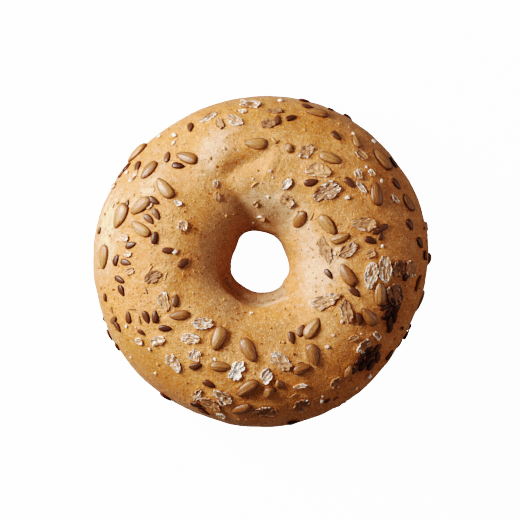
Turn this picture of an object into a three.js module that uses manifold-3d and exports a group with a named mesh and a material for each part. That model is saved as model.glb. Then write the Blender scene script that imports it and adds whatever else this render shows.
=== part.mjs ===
// A seeded bagel: one ring of baked dough whose crust holds sunflower kernels,
// linseeds and cereal flakes. Millimetres, +Z up. The origin lies under the
// middle of the ring, level with the flat foot that the bagel rests on.

import * as THREE from "three";
import { mergeVertices } from "three/addons/utils/BufferGeometryUtils.js";
import Module from "manifold-3d";

const wasm = await Module();
wasm.setup();

// Driving dimensions of the dough. The twelve values of an hourly list go
// clockwise from twelve o'clock, as seen from above.
const OUTER_BY_HOUR = [54.9, 55.6, 55.6, 55.0, 53.5, 54.8, 54.8, 54.6, 55.4, 55.8, 55.0, 53.6];
const HOLE_BY_HOUR = [9.6, 9.2, 8.1, 8.3, 9.7, 10.0, 9.9, 9.7, 10.0, 9.9, 8.8, 10.3];
const CREST_BY_HOUR = [35.4, 36.2, 36.4, 36.1, 35.6, 35.4, 35.7, 36.3, 36.6, 36.4, 36.0, 35.3];
const CREST_RADIUS = 32;
const WIDEST_LEVEL = 15.5;
const FOOT_PRESSED = 1.8;
const UNDERSIDE_SQUARENESS = 0.82;
const LUMP_HEIGHT = 0.35;

// How finely the ring is cut: steps round the hole, and round its section,
// where the bias crowds them on the upper side.
const TURN_STEPS = 66;
const ROLL_STEPS = 24;
const ROLL_BIAS = 0.25;

// The ledge inside the hole: a groove under the upper lip, above a bulge.
const LEDGE = { hour: 6.7, hours: 2.3, roll: 154, spread: 9, deep: 2.7 };

// Places are read in pixels on a view from straight above.
const VIEW_MIDDLE = { x: 261, y: 261 };
const MM_PER_PIXEL = 0.3293;

// Hollows and swellings in the crust: place, way that each runs, and its
// half length, half width and depth in millimetres (below zero stands proud).
const HOLLOWS = [
  { x: 245, y: 165, turn: 26, long: 8.5, wide: 3.0, deep: 2.0 },
  { x: 216, y: 146, turn: 62, long: 9.5, wide: 5.0, deep: -0.8 },
  { x: 272, y: 163, turn: 70, long: 5.0, wide: 2.0, deep: -0.6 },
  { x: 243, y: 207, turn: -50, long: 7.0, wide: 2.0, deep: 1.7 },
  { x: 256, y: 200, turn: -50, long: 8.0, wide: 3.0, deep: -0.9 },
  { x: 262, y: 231, turn: 0, long: 5.5, wide: 1.4, deep: -0.7 },
];

// Sunflower kernels: x, y, the way that the point faces, length in millimetres.
const KERNELS = [
  [137.5, 153.5, 213, 9.0], [149.5, 170.5, 230, 7.6], [187, 158, 156, 7.8], [165, 188.5, 127, 8.4],
  [141, 206, 216, 8.2], [121, 216, 242, 9.2], [141, 229, 147, 7.8], [104.5, 257, 258, 8.4],
  [180, 315, 190, 6.6], [218.5, 338, 250, 8.6], [248.5, 349.5, 295, 8.6], [220.5, 366, 357, 7.0],
  [247.5, 388, 218, 8.6], [269, 392, 200, 5.4], [278, 383, 150, 4.2], [241.5, 408.5, 212, 7.6],
  [312, 328, 57, 8.0], [313, 354.5, 285, 7.8], [302, 368.5, 18, 6.4], [348, 371, 80, 5.0],
  [369, 317, 130, 7.4], [379.5, 294, 92, 8.0], [347.5, 275, 122, 8.6], [376, 194.5, 92, 8.2],
  [408, 203, 125, 6.6], [382, 160, 130, 9.0], [356, 142, 90, 5.2], [330, 158.5, 340, 7.6],
  [317, 113.5, 180, 7.6], [289, 150, 120, 5.0], [256, 144, 180, 7.4], [327.5, 225, 310, 8.2],
  [300, 219.5, 232, 7.0], [340, 238, 20, 6.6],
];
const KERNEL = { wide: 0.49, thick: 0.33, point: 0.22, lift: 0.4, sides: 6, rings: 4 };

// Linseeds: x, y, the way that the point faces, length in millimetres.
const LINSEEDS = [
  [127.5, 167.5, 45, 4.2], [138, 167, 285, 4.4], [167.5, 157.5, 90, 4.2], [178.5, 166, -12, 4.4],
  [190.5, 128, -75, 4.2], [154, 201, -30, 4.4], [149.5, 219.5, -45, 4.4], [156.5, 214.5, -62, 4.2],
  [155, 238, 80, 4.4], [131.5, 245, 15, 4.2], [116.5, 260, 68, 4.2], [126.5, 262.5, -12, 4.2],
  [169, 250.5, 0, 4.4], [183.5, 263, 35, 4.6], [120, 279.5, -20, 4.2], [122, 290.5, -60, 4.2],
  [175.5, 300.5, 80, 4.4], [129, 317, 90, 4.4], [146.5, 317, -68, 4.4], [155.5, 316.5, 90, 4.4],
  [165.5, 328, 0, 4.4], [114.5, 319.5, 33, 4.2], [118, 326.5, -40, 4.2], [109, 335.5, -60, 4.4],
  [196, 365.5, 20, 4.4], [209.5, 383.5, -22, 4.4], [196.5, 404, 12, 4.4], [204.5, 411, -40, 4.2],
  [166, 396.5, -28, 4.6], [291.5, 337.5, -80, 4.4], [301, 330.5, 70, 4.4], [354.5, 292, -44, 4.6],
  [358.5, 319, -75, 4.4], [389, 322, -80, 4.4], [395, 309, 60, 4.4], [406, 334, 62, 4.2],
  [389, 354.5, 50, 4.2], [362, 365, 70, 4.4], [370.5, 364.5, 75, 4.4], [372, 353.5, 15, 4.4],
  [377, 357, -70, 4.4], [355, 368, 60, 4.2], [404.5, 275, 90, 4.0], [419.5, 243, -40, 4.2],
  [409.5, 225, -58, 4.2], [370, 240.5, -20, 4.4], [382, 228, 30, 4.4], [396, 184.5, -42, 4.6],
  [393, 163, -75, 4.4], [349, 183, -50, 4.4], [336, 136.5, -57, 4.4], [308, 107.5, -15, 4.4],
  [291, 118.5, 32, 4.2], [277, 120.5, 80, 4.4], [311, 182.5, 12, 4.8], [328.5, 274, -50, 4.0],
];
const LINSEED = { wide: 0.52, thick: 0.26, point: 0.26, lift: 0.2, sides: 5, rings: 3 };

// Cereal flakes: x, y, the way that each runs, length and width in millimetres.
const FLAKES = [
  [134, 177, 55, 4.3, 2.4], [250, 105, -25, 6.8, 4.2], [235, 121, -40, 5.4, 4.2],
  [209, 118, 41, 6.6, 2.6], [306, 152, 35, 5.6, 4.0], [318, 171, -8, 8.2, 4.6],
  [286, 184, 45, 4.4, 2.6], [327, 191, 28, 9.4, 5.4], [287, 201, -35, 4.8, 3.8],
  [364, 224, -8, 8.4, 4.4], [325, 249.5, -68, 8.0, 4.0], [348, 250, 33, 7.0, 3.8],
  [371, 275, 80, 8.8, 4.2], [384, 269, 95, 8.6, 4.8], [398, 269, 70, 5.4, 5.0],
  [410, 268.5, -78, 5.8, 4.6], [393, 295, -60, 8.0, 4.4], [325.5, 301, 20, 9.2, 4.8],
  [346, 311, -75, 7.6, 3.8], [364, 345.5, 45, 5.6, 3.8], [281, 361, -40, 8.0, 4.6],
  [266, 376, 55, 5.0, 3.4], [237, 370, 20, 6.0, 4.6], [223, 397, -50, 6.8, 4.6],
  [211, 403, -42, 7.2, 4.2], [266, 411, -12, 7.4, 4.4], [301, 404, 60, 5.6, 4.4],
  [336, 382, 60, 4.2, 3.8], [197.5, 394, 62, 5.0, 2.6], [195.5, 355, 80, 4.2, 3.8],
  [174, 362, -50, 6.6, 3.8], [191, 338.5, -5, 6.0, 3.4], [202.5, 323, 0, 7.0, 4.0],
  [158, 340, 10, 5.0, 3.2], [164, 301, -70, 6.6, 3.8], [153, 277, 30, 5.8, 3.6],
  [183, 226, 80, 3.4, 3.0], [268, 124, 15, 5.0, 3.4], [220, 124, -70, 4.8, 2.6],
  [361, 155.5, -35, 4.6, 3.0],
];
const FLAKE = { thick: 1.3, lift: 0.15, cup: 0.45, ragged: 0.16, sides: 6, seed: 88 };

// Toppings low on the outside, which a view from above doesn't reach.
const FLANK = { kernels: 8, linseeds: 12, flakes: 6, lowest: -40, highest: -14, seed: 417 };

const CRUST = { color: 0xd69a58, roughness: 0.55, metalness: 0 };

const FULL_TURN = 2 * Math.PI;
const radians = THREE.MathUtils.degToRad;

// The same draws in the same order on every run.
function drawsFrom(seed) {
  let state = seed;
  return () => {
    state = (state * 16807) % 2147483647;
    return state / 2147483647;
  };
}

// A smooth closed curve through values that stand at even steps round a circle.
function around(values, share) {
  const place = (((share % 1) + 1) % 1) * values.length;
  const first = Math.floor(place);
  const f = place - first;
  const [a, b, c, d] = [-1, 0, 1, 2].map(
    (step) => values[(first + step + values.length) % values.length],
  );
  const bend = 2 * a - 5 * b + 4 * c - d;
  const twist = 3 * (b - c) + d - a;
  return b + 0.5 * f * (c - a + f * (bend + f * twist));
}

// Where a pixel of the view from above lies on the plan of the bagel.
function planOf(x, y) {
  return {
    x: (x - VIEW_MIDDLE.x) * MM_PER_PIXEL,
    y: (VIEW_MIDDLE.y - y) * MM_PER_PIXEL,
  };
}

// The plain ring: turn goes round the hole, roll goes round the section from
// the outside over the crest and down through the hole.
function ringPoint(turn, roll) {
  const share = 0.25 - turn / FULL_TURN;
  const across = Math.cos(roll);
  const up = Math.sin(roll);
  const reach = across > 0 ? around(OUTER_BY_HOUR, share) : around(HOLE_BY_HOUR, share);
  const radius = CREST_RADIUS + Math.abs(across) * (reach - CREST_RADIUS);
  const crest = around(CREST_BY_HOUR, share);
  const drop = (WIDEST_LEVEL + FOOT_PRESSED) * Math.abs(up) ** UNDERSIDE_SQUARENESS;
  const level = up > 0 ? WIDEST_LEVEL + up * (crest - WIDEST_LEVEL) : WIDEST_LEVEL - drop;
  return { radius, level };
}

function bell(distance, spread) {
  return Math.exp(-((distance / spread) ** 2));
}

// How far the crust stands in or out of the plain ring, over the plan.
function relief(x, y) {
  return HOLLOWS.reduce((sum, hollow) => {
    const middle = planOf(hollow.x, hollow.y);
    const way = radians(hollow.turn);
    const along = (x - middle.x) * Math.cos(way) + (y - middle.y) * Math.sin(way);
    const aside = (y - middle.y) * Math.cos(way) - (x - middle.x) * Math.sin(way);
    return sum - hollow.deep * bell(along, hollow.long) * bell(aside, hollow.wide);
  }, 0);
}

function lumps(turn, roll) {
  const slow = Math.sin(3 * turn + 1.1) * Math.cos(roll - 0.6);
  const quick = Math.sin(7 * turn + 2.3 * Math.sin(roll)) * Math.sin(2 * roll + 0.4);
  return LUMP_HEIGHT * (slow + 0.8 * quick);
}

// How much further out the wall of the hole stands in the groove of the ledge.
function ledge(turn, roll) {
  const hour = (0.25 - turn / FULL_TURN) * 12;
  const away = ((((hour - LEDGE.hour) % 12) + 18) % 12) - 6;
  return LEDGE.deep * bell(away, LEDGE.hours) * bell(roll - radians(LEDGE.roll), radians(LEDGE.spread));
}

// A point of the crust.
function crust(turn, roll) {
  const ring = ringPoint(turn, roll);
  const upper = Math.min(1, Math.max(0, 3 * Math.sin(roll)));
  const shaped = relief(ring.radius * Math.cos(turn), ring.radius * Math.sin(turn));
  const raised = lumps(turn, roll) + upper * shaped;
  const radius = ring.radius + raised * Math.cos(roll) + ledge(turn, roll);
  const level = Math.max(0, ring.level + raised * Math.sin(roll));
  return new THREE.Vector3(radius * Math.cos(turn), radius * Math.sin(turn), level);
}

// A manifold solid from a three.js geometry, with its shared corners merged.
function solidOf(geometry) {
  const bare = geometry.clone();
  bare.deleteAttribute("normal");
  bare.deleteAttribute("uv");
  const merged = mergeVertices(bare, 1e-4);
  return new wasm.Manifold(
    new wasm.Mesh({
      numProp: 3,
      vertProperties: new Float32Array(merged.attributes.position.array),
      triVerts: new Uint32Array(merged.index.array),
    }),
  );
}

function geometryOf(solid) {
  const mesh = solid.getMesh();
  const geometry = new THREE.BufferGeometry();
  geometry.setAttribute("position", new THREE.BufferAttribute(mesh.vertProperties, 3));
  geometry.setIndex(new THREE.BufferAttribute(mesh.triVerts, 1));
  geometry.computeVertexNormals();
  return geometry;
}

function movePoints(geometry, move) {
  const points = geometry.attributes.position;
  const point = new THREE.Vector3();
  for (let i = 0; i < points.count; i += 1) {
    move(point.fromBufferAttribute(points, i));
    points.setXYZ(i, point.x, point.y, point.z);
  }
  return geometry;
}

// The ring of dough: a torus whose points are moved on to the crust.
function doughRing() {
  const torus = new THREE.TorusGeometry(2, 1, ROLL_STEPS, TURN_STEPS);
  return movePoints(torus, (point) => {
    const turn = Math.atan2(point.y, point.x);
    const even = Math.atan2(point.z, Math.hypot(point.x, point.y) - 2);
    point.copy(crust(turn, even + ROLL_BIAS * Math.cos(even)));
  });
}

// The roll at which the crust lies over a given distance from the middle.
function rollOver(turn, distance) {
  let low = 0;
  let high = Math.PI;
  for (let i = 0; i < 30; i += 1) {
    const middle = (low + high) / 2;
    const point = crust(turn, middle);
    if (Math.hypot(point.x, point.y) > distance) low = middle;
    else high = middle;
  }
  return low;
}

// A frame on the crust: X along the piece, Z straight out of the dough.
function seatAt(turn, roll, way, lift) {
  const step = 0.01;
  const point = crust(turn, roll);
  const round = crust(turn + step, roll).sub(crust(turn - step, roll));
  const over = crust(turn, roll + step).sub(crust(turn, roll - step));
  const out = round.cross(over).normalize();
  const along = way.clone().addScaledVector(out, -way.dot(out)).normalize();
  const aside = out.clone().cross(along);
  point.addScaledVector(out, lift);
  return new THREE.Matrix4().makeBasis(along, aside, out).setPosition(point);
}

function seatOver(x, y, degrees, lift) {
  const plan = planOf(x, y);
  const turn = Math.atan2(plan.y, plan.x);
  const way = new THREE.Vector3(Math.cos(radians(degrees)), Math.sin(radians(degrees)), 0);
  return seatAt(turn, rollOver(turn, Math.hypot(plan.x, plan.y)), way, lift);
}

// A seed: a flattened drop with its point along +X.
function seed(kind, length) {
  const drop = new THREE.SphereGeometry(1, kind.sides, kind.rings).rotateZ(-Math.PI / 2);
  return movePoints(drop, (point) => {
    const taper = 1 - kind.point * point.x;
    point.y *= taper * kind.wide;
    point.z *= taper * kind.thick;
    point.multiplyScalar(length / 2);
  });
}

// A flake: a thin cupped plate with a ragged edge.
function flake(length, width, draw) {
  const plate = new THREE.CylinderGeometry(1, 0.86, 1, FLAKE.sides).rotateX(Math.PI / 2);
  const rags = Array.from({ length: FLAKE.sides }, () => 1 + FLAKE.ragged * (2 * draw() - 1));
  return movePoints(plate, (point) => {
    const reach = Math.hypot(point.x, point.y);
    const side = Math.round((Math.atan2(point.y, point.x) / FULL_TURN + 1) * FLAKE.sides);
    const rag = rags[side % FLAKE.sides];
    const cup = FLAKE.cup * (reach - 0.5);
    point.set((point.x * rag * length) / 2, (point.y * rag * width) / 2, point.z * FLAKE.thick + cup);
  });
}

// The toppings that show from above, each where it lies.
function shownToppings(draw) {
  const kernels = KERNELS.map(([x, y, way, length]) =>
    seed(KERNEL, length).applyMatrix4(seatOver(x, y, way, KERNEL.lift)),
  );
  const linseeds = LINSEEDS.map(([x, y, way, length]) =>
    seed(LINSEED, length).applyMatrix4(seatOver(x, y, way, LINSEED.lift)),
  );
  const flakes = FLAKES.map(([x, y, way, length, width]) =>
    flake(length, width, draw).applyMatrix4(seatOver(x, y, way, FLAKE.lift)),
  );
  return [...kernels, ...linseeds, ...flakes];
}

// The toppings low on the outside, spread evenly round it and seeded.
function flankToppings(draw) {
  const count = FLANK.kernels + FLANK.linseeds + FLANK.flakes;
  return Array.from({ length: count }, (_, i) => {
    const turn = ((i * 0.618034 + 0.12 * draw()) % 1) * FULL_TURN;
    const roll = radians(FLANK.lowest + (FLANK.highest - FLANK.lowest) * draw());
    const way = new THREE.Vector3(draw() - 0.5, draw() - 0.5, draw() - 0.5);
    const place = (lift) => seatAt(turn, roll, way, lift);
    if (i < FLANK.kernels) return seed(KERNEL, 7.4 + draw()).applyMatrix4(place(KERNEL.lift));
    if (i < FLANK.kernels + FLANK.flakes) return flake(6.4, 4.2, draw).applyMatrix4(place(FLAKE.lift));
    return seed(LINSEED, 4.4).applyMatrix4(place(LINSEED.lift));
  });
}

// One solid: the dough with every topping joined to it. The largest body is
// kept, so a loose scrap is dropped and a sealed hollow is filled.
function bagelSolid() {
  const shown = shownToppings(drawsFrom(FLAKE.seed));
  const toppings = [...shown, ...flankToppings(drawsFrom(FLANK.seed))];
  const joined = toppings.reduce((sum, piece) => sum.add(solidOf(piece)), solidOf(doughRing()));
  const bodies = joined.decompose();
  return bodies.reduce((largest, body) => (body.volume() > largest.volume() ? body : largest));
}

const bagel = new THREE.Mesh(geometryOf(bagelSolid()), new THREE.MeshStandardMaterial(CRUST));
bagel.name = "bagel";

const part = new THREE.Group();
part.add(bagel);

export default part;
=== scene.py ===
import math
import bmesh
import bpy
from mathutils import Matrix, Vector, kdtree, noise


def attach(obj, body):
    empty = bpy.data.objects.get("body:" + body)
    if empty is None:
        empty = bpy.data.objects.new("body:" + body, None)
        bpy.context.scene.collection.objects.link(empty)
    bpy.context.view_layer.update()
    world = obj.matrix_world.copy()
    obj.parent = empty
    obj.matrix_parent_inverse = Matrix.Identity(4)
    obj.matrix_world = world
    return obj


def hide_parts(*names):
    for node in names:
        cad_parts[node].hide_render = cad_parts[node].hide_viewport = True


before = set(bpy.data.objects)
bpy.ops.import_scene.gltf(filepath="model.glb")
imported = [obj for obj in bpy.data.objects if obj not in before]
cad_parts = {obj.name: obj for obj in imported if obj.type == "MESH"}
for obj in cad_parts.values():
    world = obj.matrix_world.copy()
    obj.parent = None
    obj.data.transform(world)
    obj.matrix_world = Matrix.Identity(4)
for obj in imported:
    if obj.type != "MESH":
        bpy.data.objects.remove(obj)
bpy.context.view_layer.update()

# A seeded bagel, lit from the upper left and seen from straight above. Shapes
# are worked out in millimetres and made metres when each mesh is finished.

MM = 0.001
FULL_TURN = 2 * math.pi
BAGEL = "bagel"

# The dough. The twelve values of an hourly list go clockwise from twelve
# o'clock, as seen from above. The outside and the hole were measured hour by
# hour on the view from above; the heights of the crest are guesses.
OUTER_BY_HOUR = [54.9, 55.6, 55.6, 55.0, 53.5, 54.8, 54.8, 54.6, 55.4, 55.8, 55.0, 53.6]
HOLE_BY_HOUR = [9.6, 9.2, 8.1, 8.3, 9.7, 10.0, 9.9, 9.7, 10.0, 9.9, 8.8, 10.3]
CREST_BY_HOUR = [35.4, 36.2, 36.4, 36.1, 35.6, 35.4, 35.7, 36.3, 36.6, 36.4, 36.0, 35.3]
CREST_RADIUS = 32
WIDEST_LEVEL = 15.5
FOOT_PRESSED = 1.8
UNDERSIDE_SQUARENESS = 0.82
LUMP_HEIGHT = 0.35
LEDGE = {"hour": 6.7, "hours": 2.3, "roll": 154, "spread": 9, "deep": 2.7}

# The shelf on the ledge: the hours that it covers and fades out over, its
# rolls in degrees, and its radii and levels in millimetres.
SHELF = {
    "hour": 6.5, "hours": 2.2, "fade": 0.6, "lip": 147, "start": 152, "end": 182, "blend": 25,
    "outer": 13.7, "clear": 0.3, "level": 19.5, "drop": 3,
}

# The fine skin: height and breadth of its broad waves and its pebbles, and how
# far all of it is sunk. It fades out over the lowest stretch above the foot.
SKIN = {"broad": 0.3, "broad_size": 7, "pebbles": 0.1, "pebble_size": 2.4, "sunk": 0.2}
FOOT_FADE = 3

# How the dough swells round a topping: how far away it looks for one, how many
# it looks at, where the swelling is highest as a share of the topping's outline,
# its spread there, and its height.
SWELLING = {"near": 7, "count": 3, "outline": 1.12, "spread": 0.3, "high": 0.3}

# On its shaded side the wall of the hole gets a greyer colour, which is painted shade: it comes in between
# these distances from the middle, and over this stretch across the ring. The shelf gets the same colour.
PAINTED_WALL_SHADE = {"far": 26, "near": 16, "x": 0.9, "y": -0.43, "from": 8, "to": -4}
SHELF_TINT = {"far": 14, "near": 13.4, "strength": 1.2}

# How finely the crust is cut: steps round the hole, and round its section.
TURN_STEPS = 480
ROLL_STEPS = 200

# The picture: its middle, its scale, and the pixel over the bagel's origin.
PICTURE_SIDE = 520
VIEW_MIDDLE = (261, 261)
MM_PER_PIXEL = 0.3293

# Hollows and swellings in the crust: x, y, the way that each runs, and its
# half length, half width and depth in millimetres (below zero stands proud).
HOLLOWS = [
    (245, 165, 26, 8.5, 3.0, 2.0),
    (216, 146, 62, 9.5, 5.0, -0.8),
    (272, 163, 70, 5.0, 2.0, -0.6),
    (243, 207, -50, 7.0, 2.0, 1.7),
    (256, 200, -50, 8.0, 3.0, -0.9),
    (262, 231, 0, 5.5, 1.4, -0.7),
]

# Fine folds that pull away from the hole, listed as the hollows are.
WRINKLES = [
    (303, 298, 24, 6.5, 0.55, 0.16),
    (309, 304, 30, 5.5, 0.5, -0.14),
    (298, 310, 14, 7.0, 0.5, 0.14),
    (290, 322, -4, 6.5, 0.55, -0.14),
    (283, 329, -16, 6.0, 0.5, 0.13),
    (318, 290, 38, 5.0, 0.5, -0.12),
    (232, 172, 52, 5.5, 0.6, 0.14),
    (226, 158, 64, 6.0, 0.6, -0.16),
    (268, 168, 66, 5.0, 0.5, -0.2),
    (275, 172, 62, 5.5, 0.5, 0.16),
    (164, 290, 52, 6.0, 0.8, -0.25),
]

# Tints of the crust's colour: golden above zero, dark brown from about 2 up, pale below zero. Many are
# painted highlights and painted shade, as marked. x, y, the way that each patch runs, half length, half
# width, strength.
TINTS_AND_PAINTED_LIGHT = [
    # Painted highlights where the crust faces the light, and painted light that lifts the shade in the
    # dent and at the top of the hole.
    (213, 150, 62, 10, 4.5, -0.9),
    (245, 165, 26, 9, 3.2, -0.2),
    (247, 204, 0, 12, 6, -0.6),
    (252, 131, 10, 9, 4, -0.2),
    (312, 268, 90, 14, 5, -0.9),
    (335, 262, 70, 9, 4, -0.8),
    (292, 216, -45, 12, 7, -0.6),
    (108, 232, 85, 20, 5, -0.75),
    (152, 182, 60, 13, 6, -0.6),
    # The crust's own golden and browner patches. The darker left inner slope is painted shade.
    (312, 128, -20, 12, 6, 0.9),
    (350, 210, -50, 13, 8, 1.6),
    (266, 334, 0, 18, 5, 1.2),
    (232, 104, 10, 14, 4, 0.7),
    (330, 365, 20, 12, 6, 0.4),
    (158, 368, -45, 22, 7, 0.8),
    (195, 240, 80, 14, 5, 0.9),
    (295, 400, 15, 22, 7, 0.4),
    # A painted highlight along the lip of the hole.
    (240, 298, -35, 3.5, 0.7, -1.3),
    (256, 303, -6, 4, 0.7, -1.5),
    (273, 301, 14, 4.5, 0.7, -1.4),
    # Painted shade in the crevice beside the hole.
    (232, 290, -46, 3.5, 0.9, 2.7),
    # Dark brown patches among the seeds at the lower right.
    (366, 359, 55, 5.5, 3.6, 3.0),
    (393, 311, 80, 7, 3.4, 2.9),
    (396, 292, 60, 5, 3, 2.1),
]

# Sunflower kernels: x, y, the way that the point faces, length in millimetres.
KERNELS = [
    (137.5, 153.5, 213, 9.0), (149.5, 170.5, 230, 7.6), (187, 158, 156, 7.8), (165, 188.5, 127, 8.4),
    (141, 206, 216, 8.2), (121, 216, 242, 9.2), (141, 229, 147, 7.8), (104.5, 257, 258, 8.4),
    (180, 315, 190, 6.6), (218.5, 338, 250, 8.6), (248.5, 349.5, 295, 8.6), (220.5, 366, 357, 7.0),
    (247.5, 388, 218, 8.6), (241.5, 408.5, 212, 7.6),
    (312, 328, 57, 8.0), (313, 354.5, 285, 7.8), (302, 368.5, 18, 6.4), (348, 371, 80, 5.0),
    (369, 317, 130, 7.4), (379.5, 294, 92, 8.0), (347.5, 275, 122, 8.6), (376, 194.5, 92, 8.2),
    (408, 203, 125, 6.6), (382, 160, 130, 9.0), (356, 142, 90, 5.2), (330, 158.5, 340, 7.6),
    (317, 113.5, 180, 7.6), (256, 144, 180, 7.4), (327.5, 225, 310, 8.2),
    (300, 219.5, 232, 7.0), (340, 238, 20, 6.6),
]
# Broken kernels: blunt and broad, listed as the kernels are.
STUBS = [(289, 150, 120, 4.6), (269, 392, 200, 5.2), (278, 383, 150, 4.0)]

# The form of a seed as shares of its length, how far its middle is lifted off
# the crust in millimetres, and how many flat cuts it has.
STUB = {
    "wide": 0.78, "thick": 0.46, "point": 0.06, "lift": 0.4, "ridge": 0.0, "facets": 9,
    "sides": 24, "rings": 18,
}
KERNEL = {
    "wide": 0.51, "thick": 0.28, "point": 0.16, "lift": 0.25, "ridge": 0.055, "facets": 0,
    "sides": 32, "rings": 22,
}

# Linseeds: x, y, the way that the point faces, length in millimetres.
LINSEEDS = [
    (127.5, 167.5, 45, 4.2), (138, 167, 285, 4.4), (167.5, 157.5, 90, 4.2), (178.5, 166, -12, 4.4),
    (190.5, 128, -75, 4.2), (154, 201, -30, 4.4), (149.5, 219.5, -45, 4.4), (156.5, 214.5, -62, 4.2),
    (155, 238, 80, 4.4), (131.5, 245, 15, 4.2), (116.5, 260, 68, 4.2), (126.5, 262.5, -12, 4.2),
    (169, 250.5, 0, 4.4), (183.5, 263, 35, 4.6), (120, 279.5, -20, 4.2), (122, 290.5, -60, 4.2),
    (175.5, 300.5, 80, 4.4), (129, 317, 90, 4.4), (146.5, 317, -68, 4.4), (155.5, 316.5, 90, 4.4),
    (165.5, 328, 0, 4.4), (114.5, 319.5, 33, 4.2), (118, 326.5, -40, 4.2), (109, 335.5, -60, 4.4),
    (196, 365.5, 20, 4.4), (209.5, 383.5, -22, 4.4), (196.5, 404, 12, 4.4), (204.5, 411, -40, 4.2),
    (166, 396.5, -28, 4.6), (291.5, 337.5, -80, 4.4), (301, 330.5, 70, 4.4), (354.5, 292, -44, 4.6),
    (358.5, 319, -75, 4.4), (389, 322, -80, 4.4), (395, 309, 60, 4.4), (406, 334, 62, 4.2),
    (389, 354.5, 50, 4.2), (362, 365, 70, 4.4), (370.5, 364.5, 75, 4.4), (372, 353.5, 15, 4.4),
    (377, 357, -70, 4.4), (355, 368, 60, 4.2), (404.5, 275, 90, 4.0), (419.5, 243, -40, 4.2),
    (409.5, 225, -58, 4.2), (370, 240.5, -20, 4.4), (382, 228, 30, 4.4), (396, 184.5, -42, 4.6),
    (393, 163, -75, 4.4), (349, 183, -50, 4.4), (336, 136.5, -57, 4.4), (308, 107.5, -15, 4.4),
    (291, 118.5, 32, 4.2), (277, 120.5, 80, 4.4), (311, 182.5, 12, 4.8), (328.5, 274, -50, 4.0),
]
# Broken or small linseeds, which the solid leaves out.
SMALL_LINSEEDS = [
    (121, 175, 0, 3.0), (100, 230.5, 40, 2.8), (105.5, 297, 75, 3.0), (142, 332, -30, 3.0),
    (118, 347, -50, 3.4), (384, 307, 20, 3.4), (402, 328, -50, 1.8), (327, 400, 50, 2.4),
    (293, 422, -5, 4.0), (424.5, 255, 90, 3.4), (331, 110, 0, 2.6), (304, 101, -8, 3.8),
    (366, 358, 80, 3.8), (377, 348, 40, 3.8), (358, 361, 60, 3.4), (368, 349, 20, 3.6),
    (392, 302, -60, 3.8), (386, 315, 50, 3.6), (394, 318, -80, 3.8), (399, 300, 70, 3.6),
    (390, 328, 60, 3.4), (380, 236, 80, 3.2), (376, 232, 10, 3.0), (128, 203, 80, 2.4),
]
LINSEED = {
    "wide": 0.5, "thick": 0.23, "point": 0.24, "lift": 0.26, "ridge": 0.0, "facets": 0,
    "sides": 20, "rings": 16,
}

# Each sort of seed: its kinds with their lists, and the seed of its draws.
KERNEL_KINDS = [(KERNEL, KERNELS), (STUB, STUBS)]
KERNEL_SEED = 2027
LINSEED_KINDS = [(LINSEED, LINSEEDS + SMALL_LINSEEDS)]
LINSEED_SEED = 911

# A flat cut takes this share of what lies past its reach, and seeds in a dark patch of the crust's tints
# get a wider dark edge, partly their own colour and partly painted contact shade.
CUT = {"reach": 0.42, "share": 0.85}
DARK_PATCH_EDGE = {"from": 1.3, "share": 0.22}
SEED_FIT = 0.985

# Cereal flakes: x, y, the way that each runs, length and width in millimetres,
# how white and floury each is, and how toasted its body.
FLAKES = [
    (134, 177, 55, 4.3, 2.4, 0.4, 0.2), (250, 105, -25, 6.8, 4.2, 0.8, 0.6),
    (235, 121, -40, 5.4, 4.2, 0.7, 0.4), (209, 118, 41, 6.6, 2.6, 0.7, 0.9),
    (306, 152, 35, 5.6, 4.0, 0.5, 0.5), (318, 171, -8, 8.2, 4.6, 0.35, 0.1),
    (286, 184, 45, 4.4, 2.6, 0.9, 0.4), (327, 191, 28, 9.4, 5.4, 0.7, 0.8),
    (287, 201, -35, 4.8, 3.8, 0.5, 0.3), (364, 224, -8, 8.4, 4.4, 0.35, 0.35),
    (325, 249.5, -68, 8.0, 4.0, 0.3, 0.55), (348, 250, 33, 7.0, 3.8, 0.55, 0.75),
    (371, 275, 80, 8.8, 4.2, 0.95, 0.4), (384, 269, 95, 8.6, 4.8, 0.85, 0.2),
    (398, 269, 70, 5.4, 5.0, 0.25, 0.9), (410, 268.5, -78, 5.8, 4.6, 0.5, 0.4),
    (393, 295, -60, 8.0, 4.4, 0.35, 0.9), (325.5, 301, 20, 9.2, 4.8, 0.6, 0.6),
    (346, 311, -75, 7.6, 3.8, 0.4, 0.6), (364, 345.5, 45, 5.6, 3.8, 0.6, 0.6),
    (281, 361, -40, 8.0, 4.6, 0.6, 0.4), (266, 376, 55, 5.0, 3.4, 1.6, 0.3),
    (237, 370, 60, 5.6, 4.2, 2.0, 0.1), (223, 397, -50, 6.8, 4.6, 0.7, 0.6),
    (211, 403, -42, 7.2, 4.2, 0.3, 0.6), (266, 411, -12, 7.4, 4.4, 0.3, 0.9),
    (301, 404, 60, 5.6, 4.4, 0.35, 0.8), (336, 382, 60, 4.2, 3.8, 0.3, 0.5),
    (197.5, 394, 62, 5.0, 2.6, 0.8, 0.6), (195.5, 355, 80, 4.2, 3.8, 0.9, 0.3),
    (174, 362, -50, 6.6, 3.8, 0.8, 0.4), (191, 338.5, -5, 6.0, 3.4, 0.9, 0.4),
    (202.5, 323, 0, 7.0, 4.0, 0.85, 0.4), (158, 340, 10, 5.0, 3.2, 0.9, 0.3),
    (164, 301, -70, 6.6, 3.8, 0.5, 0.4), (153, 277, 30, 5.8, 3.6, 0.1, 1.0),
    (183, 226, 80, 3.4, 3.0, 0.7, 0.3), (268, 124, 15, 5.0, 3.4, 0.1, 0.9),
    (220, 124, -70, 4.8, 2.6, 0.2, 0.6), (361, 155.5, -35, 4.6, 3.0, 0.3, 0.5),
]
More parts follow.
